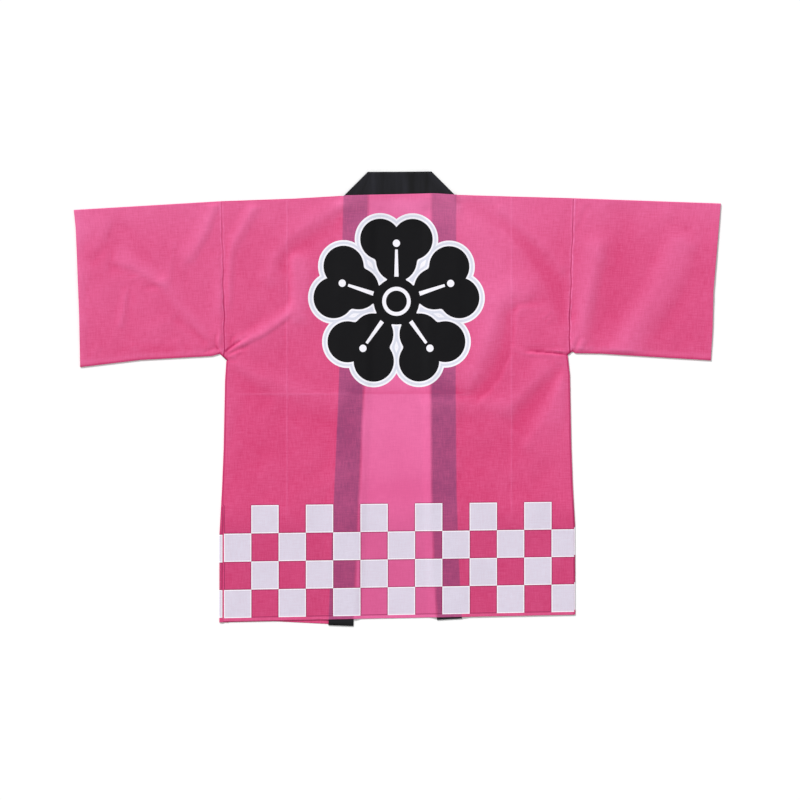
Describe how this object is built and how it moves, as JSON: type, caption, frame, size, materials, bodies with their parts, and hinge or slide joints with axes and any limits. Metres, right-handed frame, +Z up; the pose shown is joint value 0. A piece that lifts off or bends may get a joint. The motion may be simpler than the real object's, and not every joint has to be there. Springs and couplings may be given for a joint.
{
  "type": "happi coat",
  "caption": "Short straight-cut festival coat with wide sleeves and a band collar, laid flat with its back upwards.",
  "frame": {"origin": "middle of the laid coat's bounding box, on the surface that it lies on", "axes": "+X from the wearer's left cuff to the right cuff, +Y from the hem to the neck, +Z up, out of the back of the coat"},
  "size_m": [1.1768, 0.8272, 0.005],
  "materials": {
    "pink_cloth": "thin plain weave, matt",
    "black_cloth": "thin plain weave, doubled, matt"
  },
  "bodies": {
    "root": {"back_body": "pink_cloth", "front_left": "pink_cloth", "front_right": "pink_cloth", "sleeve_left": "pink_cloth", "sleeve_right": "pink_cloth", "collar_band": "black_cloth"}
  },
  "joints": []
}
